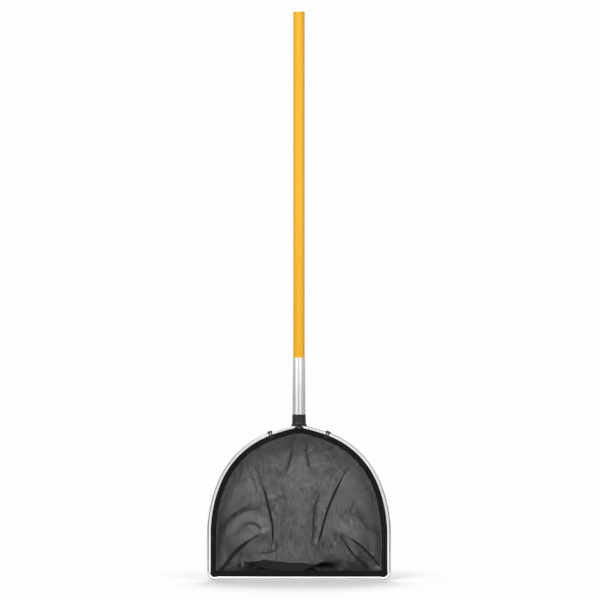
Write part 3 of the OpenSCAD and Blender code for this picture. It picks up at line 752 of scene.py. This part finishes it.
class SKIMMER_OT_hem(bpy.types.Operator):
    """Build the hem tape round the frame's inner side, with two rows of sewing"""

    bl_idname = "skimmer.hem"
    bl_label = "Hem tape"

    def execute(self, context):
        sizes, colours = context.scene.net_sizes, context.scene.net_colours
        half = TAPE_T / 2
        ring = [(d, -h * half) for d, h in TAPE_PROFILE] + [(d, h * half) for d, h in TAPE_PROFILE[::-1]]

        def place(u, v):
            d, y = ring[round(v * (len(ring) - 1))]
            tau = 2 * u - 1
            q = Vector((tau * 60, d * 300, 0))
            lift = 0.00022 * noise.noise(q) + 0.00016 * noise.noise(q * 3.1)
            ragged = smooth_step(0.010, 0.013, d) * (0.0007 * noise.noise(Vector((tau * 110, 3, 0)))
                                                     + 0.0006 * noise.noise(Vector((tau * 340, 7, 0))))
            p = rim(tau, TAPE_OUT + d + hem_pull(tau) + ragged)[0]
            return Vector((p.x, y + lift * (1 if y else 0), under_saddle(p, 0.0003) + FLOOR))

        bm = woven_grid(TAPE_STEPS, len(ring) - 1, place)
        spread = lengths_along(ring)
        set_uv(bm, lambda u, v: (u * RIM_LENGTH, spread[round(v * (len(ring) - 1))]))
        close_up(bm)
        new_piece("hem_band", bm, tape_finish(tuple(colours.tape)), ["hem_tape"])
        for name, d, height in SEWING:
            self.sewing(name, d, height, sizes)
        self.sleeve(context.scene)
        return {"FINISHED"}

    def sewing(self, name, d, height, sizes):
        """One row of lockstitch: a thread that rises out of the tape and dips back in once a stitch."""
        count = round(RIM_LENGTH / sizes.stitch)
        r = sizes.thread / 2

        def place(u, v):
            phase = (u * count) % 1.0
            rise = math.sin(math.pi * min(phase / STITCH_SHARE, 1.0)) if phase < STITCH_SHARE else -0.6
            tau = 2 * u - 1
            inset = TAPE_OUT + d + hem_pull(tau) + 0.00018 * math.sin(2 * math.pi * u * count)
            p, out = rim(tau, inset)
            a = 2 * math.pi * v
            y = -height * TAPE_T / 2 - r * (0.9 * rise - 0.25)
            return Vector((p.x + out.x * r * math.cos(a), y + r * math.sin(a),
                           under_saddle(p, 0.0012) + out.y * r * math.cos(a) + FLOOR))

        bm = woven_grid(count * STITCH_STEPS, THREAD_SIDES, place)
        close_up(bm, 1e-6)
        finish = twisted(name.replace("_", " "), 2400, (0.010, 0.010, 0.011), (0.034, 0.034, 0.036),
                         0.45, 0.00008, Specular_IOR_Level=0.4)
        new_piece(name, bm, finish)

    def sleeve(self, scene):
        """The strip of cloth that runs from the tape into the tube's slot."""
        def place(u, v):
            tau = (2 * u - 1) * SLEEVE_ROUND
            p = rim(tau, SLEEVE_IN + v * SLEEVE_W)[0]
            wave = 0.00025 * noise.noise(Vector((tau * 90, v * 4, 5)))
            return Vector((p.x, wave, p.y + FLOOR))

        bm = woven_grid(*SLEEVE_STEPS, place)
        set_uv(bm, lambda u, v: (u * RIM_LENGTH, v * SLEEVE_W))
        close_up(bm)
        sleeve = new_piece("hem_sleeve", bm, mesh_finish("sleeve mesh", scene, SLEEVE_HAZE))


# ---- The bag ----
def mesh_finish(name, scene, haze=0.0, shuts_holes=False):
    """Fine black threads over and under each other, with open holes between them.

    haze is the share of a hole that fuzz fills, and the last flag lets the bag's attribute of crowded threads
    and painted crease shade close the holes.
    """
    sizes, colour = scene.net_sizes, tuple(scene.net_colours.mesh)
    f = Finish(name, Specular_IOR_Level=0.15)
    where = f.place(source="UV")
    warp, weft = (f.axis(where, letter).wave(sizes.thread_pitch) for letter in "XY")
    streak = f.grain((340, 50, 1), 3.0, "UV") * 0.65 + f.grain((50, 300, 1), 3.0, "UV") * 0.35
    width = sizes.hole_share * (0.35 + streak * 1.30)
    # Crowded threads, and shade painted into the creases, shut the holes
    if shuts_holes:
        crowd_and_shade = f.node("ShaderNodeAttribute", {"attribute_name": "crowd_and_shade"}, output="Fac")
        width = width * (1 - crowd_and_shade * CROWD_SHUTS)
    hole = ((width - warp) * HOLE_GATE).clamp() * ((width - weft) * HOLE_GATE).clamp()
    thread = warp.maths("MAXIMUM", warp, weft)
    f.material.surface_render_method = "DITHERED"
    # Painted shade and highlight: each thread is painted lighter along its middle and darker towards the holes
    return f.feed(Base_Color=f.mix(thread, shade(colour, 0.7), shade(colour, 1.5)),
                  Roughness=0.55 + warp * 0.2,
                  Normal=f.bump(thread, 0.0002),
                  Alpha=1 - hole * (1 - haze))


# Creases and soft folds: points (x, height) along each, then half width, lap (over 1 the cloth passes over
# itself), depth, and the shares of its length over which it sinks in and dies out
FOLDS = (
    (((-0.124, 0.312), (-0.100, 0.260), (-0.085, 0.215), (-0.073, 0.165), (-0.066, 0.125), (-0.067, 0.082)),
     0.0085, 2.2, 0.01, 0.5, 0.1),
    (((0.146, 0.296), (0.117, 0.270), (0.096, 0.232), (0.075, 0.182), (0.062, 0.138), (0.052, 0.095),
      (0.049, 0.080)),
     0.0085, 2.2, -0.01, 0.35, 0.1),
    (((-0.024, 0.372), (-0.018, 0.338), (-0.020, 0.308), (-0.030, 0.275), (-0.042, 0.230)),
     0.01, 0.45, 0.004, 0.15, 0.5),
    (((0.018, 0.370), (0.017, 0.323), (0.025, 0.282), (0.040, 0.230)),
     0.01, 0.45, -0.004, 0.15, 0.5),
    (((0.066, 0.328), (0.080, 0.305), (0.094, 0.286)),
     0.007, 1.3, 0.004, 0.4, 0.5),
    (((-0.074, 0.285), (-0.060, 0.238), (-0.048, 0.213), (-0.036, 0.176), (-0.036, 0.136), (-0.028, 0.095)),
     0.014, 0.35, 0.0035, 0.5, 0.4),
    (((0.082, 0.268), (0.052, 0.220), (0.040, 0.182), (0.036, 0.140), (0.034, 0.100), (0.022, 0.082),
      (0.031, 0.064)),
     0.011, 0.6, -0.004, 0.5, 0.2),
    (((-0.205, 0.095), (-0.178, 0.145), (-0.141, 0.173), (-0.110, 0.176), (-0.080, 0.158)),
     0.012, 0.25, -0.003, 0.5, 0.4),
    (((-0.150, 0.136), (-0.125, 0.140), (-0.105, 0.134), (-0.092, 0.118)),
     0.009, 0.45, -0.003, 0.4, 0.3),
    (((0.095, 0.140), (0.120, 0.153), (0.145, 0.150), (0.185, 0.112)),
     0.013, 0.4, 0.006, 0.3, 0.4),
    (((-0.206, 0.010), (-0.172, 0.054), (-0.147, 0.080), (-0.110, 0.106), (-0.078, 0.120)),
     0.012, 2.3, 0.009, 0.06, 0.45),
    (((0.212, 0.022), (0.178, 0.062), (0.162, 0.078), (0.121, 0.108), (0.094, 0.126)),
     0.0105, 2.1, -0.008, 0.1, 0.45),
    (((0.102, 0.116), (0.112, 0.098), (0.134, 0.063), (0.158, 0.042), (0.162, 0.028)),
     0.009, 1.8, 0.005, 0.3, 0.2),
    (((-0.165, 0.044), (-0.110, 0.037), (-0.058, 0.028), (-0.008, 0.025), (0.040, 0.030), (0.088, 0.044)),
     0.03, 2.2, -0.012, 0.34, 0.36),
    (((-0.062, 0.096), (-0.056, 0.077), (-0.070, 0.066), (-0.108, 0.060)),
     0.01, 1.6, 0.006, 0.25, 0.5),
    (((0.047, 0.092), (0.053, 0.072), (0.070, 0.060), (0.096, 0.054)),
     0.008, 1.3, 0.005, 0.15, 0.5),
    (((-0.143, 0.068), (-0.150, 0.048), (-0.152, 0.026)),
     0.007, 1.4, 0.004, 0.3, 0.3),
    (((-0.138, 0.070), (-0.140, 0.052), (-0.128, 0.034)),
     0.006, 1.3, -0.004, 0.3, 0.3),
    (((0.102, 0.052), (0.118, 0.044), (0.140, 0.038), (0.158, 0.034)),
     0.006, 1.6, 0.005, 0.3, 0.3),
)


def curve_through(points, steps):
    """A smooth run of points through a few given ones."""
    p = np.array(points, float)
    p = np.vstack([2 * p[0] - p[1], p, 2 * p[-1] - p[-2]])
    out = []
    for i in range(1, len(p) - 2):
        for t in np.linspace(0, 1, steps, endpoint=False):
            a, b, c, d = p[i - 1:i + 3]
            out.append(0.5 * (2 * b + (c - a) * t + (2 * a - 5 * b + 4 * c - d) * t * t
                              + (3 * b - a - 3 * c + d) * t ** 3))
    out.append(p[-2])
    return np.array(out)


def lay_fold(co, crowd_and_shade, weight, points, width, sharp, depth, rise, fall):
    """Moves the cloth sideways and back and forth across one fold, and paints shade along it; it laps over
    itself if sharp is over 1.
    """
    line = curve_through(points, 8)
    length = np.concatenate([[0], np.cumsum(np.linalg.norm(np.diff(line, axis=0), axis=1))])
    flat = co[:, [0, 2]]
    best = np.full(len(co), 1e9)
    off, where, side_x, side_z = (np.zeros(len(co)) for _ in range(4))
    for i in range(len(line) - 1):
        d = line[i + 1] - line[i]
        run = np.linalg.norm(d)
        rel = flat - line[i]
        t = np.clip(rel @ d / run ** 2, 0, 1)
        gap = rel - np.outer(t, d)
        far = np.linalg.norm(gap, axis=1)
        near = far < best
        n = np.array([-d[1], d[0]]) / run
        best = np.where(near, far, best)
        off = np.where(near, rel @ n, off)
        where = np.where(near, (length[i] + t * run) / length[-1], where)
        side_x, side_z = np.where(near, n[0], side_x), np.where(near, n[1], side_z)
    beyond = np.sqrt(np.maximum(best ** 2 - off ** 2, 0))
    fade = (smooth_step(0, rise, where) * (1 - smooth_step(1 - fall, 1, where))
            * np.exp(-(beyond / width) ** 2) * weight)
    x = off / width
    bell = np.exp(-x * x)
    move = -sharp * fade * off * bell
    co[:, 0] += side_x * move
    co[:, 2] += side_z * move
    co[:, 1] += depth * fade * (x * bell * 1.6 - 0.35 * bell)
    # Painted shade along the fold, which shuts holes in the cloth: less for a wide soft fold than for a sharp
    # one
    np.maximum(crowd_and_shade, min(1, sharp * 0.5, 0.012 / width) * fade * np.exp(-(x / 0.6) ** 2), out=crowd_and_shade)


def broad_push(flat):
    """How far the broad folds push the cloth back at places seen from the front."""
    push = np.zeros(len(flat))
    for points, share in BROAD_FOLDS:
        near = np.full(len(flat), 1e9)
        for a, b in zip(np.array(points), np.array(points[1:])):
            t = np.clip((flat - a) @ (b - a) / ((b - a) @ (b - a)), 0, 1)
            near = np.minimum(near, np.linalg.norm(flat - a - np.outer(t, b - a), axis=1))
        push += BROAD_DEPTH * share * np.exp(-(near / BROAD_HALF) ** 2)
    return push


def keel_x(x):
    """Where on the keel the column that starts at x of the hem ends."""
    return np.clip(KEEL_SHARE * x, -KEEL_HALF, KEEL_HALF)


def hang(hem, k):
    """Where plain slack cloth hangs, for its place at the hem; k runs from 1 there to 0 at the keel."""
    deep = (1 - k ** BAG_ROUND[0]) ** BAG_ROUND[1]
    heart = keel_x(hem[:, 0])
    return np.stack([heart + k * (hem[:, 0] - heart), BAG_Y + BAG_DEPTH * deep,
                     BAG_LOW + k * (hem[:, 1] - BAG_LOW) - BAG_SAG * deep ** BAG_SAG_POWER], axis=1)


def flat_cut(grid, hem):
    """The cut's flat shape: each column laid out straight from the keel by its own length."""
    run = np.linalg.norm(np.diff(grid, axis=1), axis=2)
    reach = np.concatenate([np.cumsum(run[:, ::-1], axis=1)[:, ::-1], np.zeros((len(grid), 1))], axis=1)
    heart = keel_x(hem[:, 0])
    way = hem - np.stack([heart, np.full(len(hem), BAG_LOW)], axis=1)
    way /= np.linalg.norm(way, axis=1)[:, None]
    flat = way[:, None, :] * reach[:, :, None]
    flat[:, :, 0] += heart[:, None]
    return flat


# The tau at which the columns leave the lower bar, and the one at which they reach the crown
BAR_END = BAR_COLUMNS_X / (HALF_W - 0.03) * SPANS[0]
CROWN_START = tau_where(lambda tau: rim(tau, 0.019)[0].x > CROWN_COLUMNS_X, SPANS[3], 1.0)


def bag_columns(around):
    """The tau of each column: along the lower bar, up the right side, along the crown and down the left."""
    marks = (-BAR_END, BAR_END, CROWN_START, 2 - CROWN_START, 2 - BAR_END)
    sweeps = [np.linspace(start, end, round(share * around))
              for start, end, share in zip(marks, marks[1:], (0.36, 0.5, 1, 0.5))]
    taus = np.concatenate([s[:-1] for s in sweeps] + [sweeps[0][:1]])
    return np.where(taus > 1, taus - 2, taus)


class SKIMMER_OT_bag(bpy.types.Operator):
    """Build the mesh bag: a slack sheet sewn behind the tape, with the folds that its weight lays in it"""

    bl_idname = "skimmer.bag"
    bl_label = "Mesh bag"

    def execute(self, context):
        sizes = context.scene.net_sizes
        taus = bag_columns(sizes.around)
        columns, rows = len(taus) - 1, sizes.down
        bm = woven_grid(columns, rows, lambda u, v: (u, v, 0))
        column, row = np.rint([(v.co.x * columns, v.co.y * rows) for v in bm.verts]).astype(int).T
        first = TAPE_OUT + TAPE_W - FLANGE_REACH
        edge = TAPE_OUT + TAPE_W + FLANGE_END
        behind, hem = (np.array([tuple(rim(tau, d)[0]) for tau in taus]) for d in (first, edge))
        k = 1 - (np.maximum(row - FLANGE_ROWS, 0) / (rows - FLANGE_ROWS)) ** LEVEL_BIAS
        share = np.minimum(row / FLANGE_ROWS, 1.0)[:, None]
        start = behind[column] * (1 - share) + hem[column] * share
        co = hang(start, k)
        over_bar = (start[:, 1] < BAG_LOW) & (np.abs(start[:, 0]) < HALF_W - CORNER_R - edge)
        hold = np.minimum(1, 5 * (1 - k)) * np.where(over_bar, np.maximum(0, 1 - 3 * k), 1)
        co[:, 1] += hold * broad_push(co[:, [0, 2]])
        grid = np.zeros((columns + 1, rows + 1, 3))
        grid[column, row] = co
        flat = flat_cut(grid, hem)
        crowd_and_shade = self.fold(co, k, np.abs(taus[column]) < BAR_END * 1.02)
        set_uv(bm, lambda u, v: flat[round(u * columns), round(v * rows)])
        layer = bm.verts.layers.float.new("crowd_and_shade")
        for i, v in enumerate(bm.verts):
            v.co = co[i] + (0, 0, FLOOR)
            v[layer] = float(crowd_and_shade[i])
        close_up(bm)
        finish = mesh_finish("bag mesh", context.scene, shuts_holes=True)
        bag = new_piece("mesh_bag", bm, finish, ["net_bag"])
        skin = bag.modifiers.new("threads", "SOLIDIFY")
        skin.thickness, skin.offset, skin.use_rim = sizes.thread_height, 0, True
        return {"FINISHED"}

    def fold(self, co, k, over_bar):
        """Lays the folds and ripples in the cloth, and gives how much its holes shut, from crowded threads and
        from shade painted into the creases.

        The slack gathers at the hem and along the lower bar, where the threads stand closer; shade is painted
        into the creases.
        """
        weight = np.where(over_bar, 1 - smooth_step(0, 0.45, k), 1.0) * (1 - smooth_step(0.90, 1.0, k))
        low = 1 - smooth_step(0, LOW_CROWD_TOP, co[:, 2])
        low = low * (1 - LOW_CROWD_LOSS * smooth_step(*LOW_CROWD_SIDES, np.abs(co[:, 0])))
        crowd_and_shade = np.maximum(HEM_CROWD * smooth_step(HEM_CROWD_FROM, 1.0, k), LOW_CROWD * low)
        for fold in FOLDS:
            lay_fold(co, crowd_and_shade, weight, *fold)
        soft = 1 - smooth_step(0.93, 1.0, k)
        for i, spot in enumerate(co):
            q = Vector(spot * RIPPLE_SCALE)
            co[i, 1] += soft[i] * sum(depth * noise.noise(q * often) for depth, often in RIPPLES)
        return crowd_and_shade


class SKIMMER_OT_cords(bpy.types.Operator):
    """Finish the bead cords as braid"""

    bl_idname = "skimmer.cords"
    bl_label = "Bead cords"

    def execute(self, context):
        wear(["bead_cord_left", "bead_cord_right", "bead_cord_bottom"],
             twisted("bead cord", 1500, (0.012, 0.012, 0.013), (0.04, 0.04, 0.042), 0.6, 0.0002))
        return {"FINISHED"}


# ---- The stage ----
class SKIMMER_OT_stage(bpy.types.Operator):
    """Lay the pale floor, hang the soft lights and set the camera"""

    bl_idname = "skimmer.stage"
    bl_label = "Stage"

    def execute(self, context):
        scene = context.scene
        scene.view_settings.view_transform = "Standard"
        self.world(scene)
        self.floor(scene)
        for lamp in LAMPS:
            self.light(scene, *lamp)
        data = bpy.data.cameras.new("camera")
        data.lens, data.sensor_width = LENS, SENSOR
        data.clip_start, data.clip_end = CLIP
        camera = bpy.data.objects.new("camera", data)
        camera.location = (AIM_X, -FIELD * LENS / SENSOR, AIM_Z + FLOOR)
        camera.rotation_euler = (math.pi / 2, 0, 0)
        scene.collection.objects.link(camera)
        scene.camera = camera
        return {"FINISHED"}

    def light(self, scene, name, place, width, height, power):
        data = bpy.data.lights.new(name, "AREA")
        data.shape, data.size, data.size_y, data.energy = "RECTANGLE", width, height, power
        lamp = bpy.data.objects.new(name, data)
        lamp.location = place
        lamp.rotation_euler = (LAMP_TARGET - Vector(place)).to_track_quat("-Z", "Y").to_euler()
        lamp.visible_camera = False
        scene.collection.objects.link(lamp)

    def world(self, scene):
        """White for the camera, an even light for most of the net and a room for polished metal."""
        world = bpy.data.worlds.new("studio")
        world.use_nodes = True
        scene.world = world
        w = Nodes(world.node_tree, "ShaderNodeOutputWorld")
        camera_ray, clear_ray, glossy_ray = (w.node("ShaderNodeLightPath", output=kind) for kind in (
            "Is Camera Ray", "Is Transmission Ray", "Is Glossy Ray"))
        way = w.node("ShaderNodeTexCoord", output="Generated")
        from_front = w.axis(way, "Y") * -1
        side = w.axis(way, "X")
        angle = from_front.maths("ARCCOSINE", from_front) * side.maths("SIGN", side)
        stops = [((degrees + 180) / 360, level) for degrees, level in ROOM]
        room = w.ramp(angle / (2 * math.pi) + 0.5, stops)
        plain = w.node("ShaderNodeBackground", None, {"Color": (1, 1, 1, 1), "Strength": EVEN_LIGHT})
        shiny = w.node("ShaderNodeBackground", None, {"Color": room})
        white = w.node("ShaderNodeBackground", None, {"Color": (WHITE, WHITE, WHITE, 1)})
        lit = w.node("ShaderNodeMixShader", None, {0: glossy_ray, 1: plain, 2: shiny})
        seen = camera_ray.maths("MAXIMUM", camera_ray, clear_ray)
        w.show(w.node("ShaderNodeMixShader", None, {0: seen, 1: lit, 2: white}))

    def floor(self, scene):
        """Pale paper that takes the net's shadow near it, and is plain white to the camera farther away."""
        bm = bmesh.new()
        bmesh.ops.create_grid(bm, x_segments=1, y_segments=1, size=PAPER_HALF)
        mesh = bpy.data.meshes.new("floor")
        bm.to_mesh(mesh)
        bm.free()
        mesh.transform(Matrix.Translation((0, 0, FLOOR - PAPER_DROP)))
        f = Finish("floor paper", Base_Color=PAPER_TONE, Roughness=0.9)
        where = f.node("ShaderNodeTexCoord", output="Object")
        oval = f.node("ShaderNodeVectorMath", {"operation": "MULTIPLY"}, {0: where, 1: PAPER_OVAL})
        away = f.node("ShaderNodeVectorMath", {"operation": "LENGTH"}, {0: oval}, "Value")
        near = (1 - (away - PAPER_NEAR) / (PAPER_FAR - PAPER_NEAR)).clamp()
        near = near * near * (3 - 2 * near)
        camera_ray = f.node("ShaderNodeLightPath", output="Is Camera Ray")
        lift = f.node("ShaderNodeEmission", None,
                      {"Color": (1, 1, 1, 1), "Strength": camera_ray * PAPER_LIFT})
        paper = f.node("ShaderNodeAddShader", None, {0: Value(f, f.shader.outputs[0]), 1: lift})
        glow = f.node("ShaderNodeEmission", None, {"Color": (1, 1, 1, 1), "Strength": WHITE})
        f.show(f.node("ShaderNodeMixShader", None, {0: 1 - (1 - near) * camera_ray, 1: glow, 2: paper}))
        mesh.materials.append(f.material)
        floor = bpy.data.objects.new("floor", mesh)
        scene.collection.objects.link(floor)


class SKIMMER_PT_panel(bpy.types.Panel):
    """Buttons and sizes of the leaf skimmer net"""

    bl_idname = "SKIMMER_PT_panel"
    bl_label = "Leaf skimmer net"
    bl_space_type = "VIEW_3D"
    bl_region_type = "UI"
    bl_category = "Skimmer"

    def draw(self, context):
        for operator in STEPS:
            self.layout.operator(operator.bl_idname)
        for group in (context.scene.net_sizes, context.scene.net_colours):
            for name in group.__annotations__:
                self.layout.prop(group, name)


STEPS = (SKIMMER_OT_stage, SKIMMER_OT_pole, SKIMMER_OT_ferrule, SKIMMER_OT_hub, SKIMMER_OT_tubes,
         SKIMMER_OT_hem, SKIMMER_OT_bag, SKIMMER_OT_cords)
CLASSES = (NetSizes, NetColours, *STEPS, SKIMMER_PT_panel)


def register():
    for c in CLASSES:
        bpy.utils.register_class(c)
    bpy.types.Scene.net_sizes = PointerProperty(type=NetSizes)
    bpy.types.Scene.net_colours = PointerProperty(type=NetColours)


def unregister():
    del bpy.types.Scene.net_sizes, bpy.types.Scene.net_colours
    for c in reversed(CLASSES):
        bpy.utils.unregister_class(c)


def main():
    register()
    bpy.ops.skimmer.stage()
    bpy.ops.skimmer.pole()
    bpy.ops.skimmer.ferrule()
    bpy.ops.skimmer.hub()
    bpy.ops.skimmer.tubes()
    bpy.ops.skimmer.hem()
    bpy.ops.skimmer.bag()
    bpy.ops.skimmer.cords()


if __name__ == "__main__":
    main()
